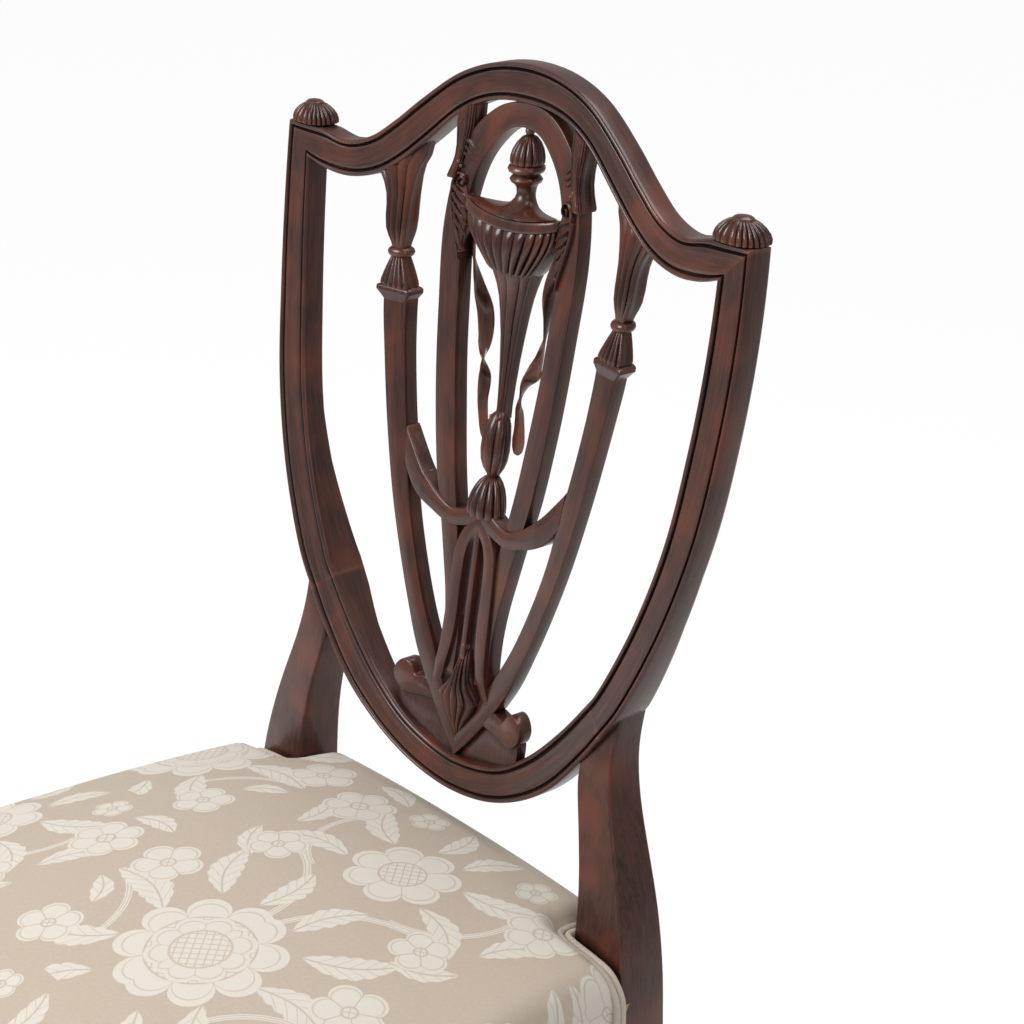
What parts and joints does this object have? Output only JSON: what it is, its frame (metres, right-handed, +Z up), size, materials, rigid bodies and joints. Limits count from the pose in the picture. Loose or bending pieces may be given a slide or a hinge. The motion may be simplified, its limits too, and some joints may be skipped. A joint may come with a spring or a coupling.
{
  "type": "dining chair",
  "caption": "Carved shield back side chair with slender banisters around an urn splat, raked rear legs, tapering front legs and a stuffed damask seat.",
  "frame": {"origin": "on the floor, under the middle of the chair's overall width and depth", "axes": "+Z up, the front of the seat faces -Y, and +X is to the right of a person who looks at the front of the chair"},
  "size_m": [0.528, 0.5338, 0.9995],
  "materials": {
    "mahogany": "semi-gloss lacquer over dark stain",
    "beech": "raw",
    "damask": "satin damask",
    "welt_cloth": "satin",
    "foam": "open cell",
    "webbing": "woven jute",
    "black_cloth": "matte",
    "steel": "zinc plated",
    "glide": "matte"
  },
  "bodies": {
    "root": {"back_rail": "beech", "bell_flower": "mahogany", "centre_loop": "mahogany", "corner_blocks": "beech", "corner_screws": "steel", "crest_rail": "mahogany", "deck_cloth": "black_cloth", "dust_cover": "black_cloth", "floor_glides": "glide", "front_rail": "beech", "lancet": "mahogany", "leaf_boss": "mahogany", "left_acanthus": "mahogany", "left_banister": "mahogany", "left_ear_cap": "mahogany", "left_front_leg": "mahogany", "left_loop_drop": "mahogany", "left_rear_post": "mahogany", "left_ribbon": "mahogany", "left_scroll": "mahogany", "left_side_rail": "beech", "left_swag": "mahogany", "right_acanthus": "mahogany", "right_banister": "mahogany", "right_ear_cap": "mahogany", "right_front_leg": "mahogany", "right_loop_drop": "mahogany", "right_rear_post": "mahogany", "right_ribbon": "mahogany", "right_scroll": "mahogany", "right_side_rail": "beech", "right_swag": "mahogany", "seat_cover": "damask", "seat_dowels": "beech", "seat_foam": "foam", "seat_webbing": "webbing", "seat_welt": "welt_cloth", "shield_bottom_rail": "mahogany", "shield_dowels": "beech", "urn": "mahogany"}
  },
  "joints": []
}
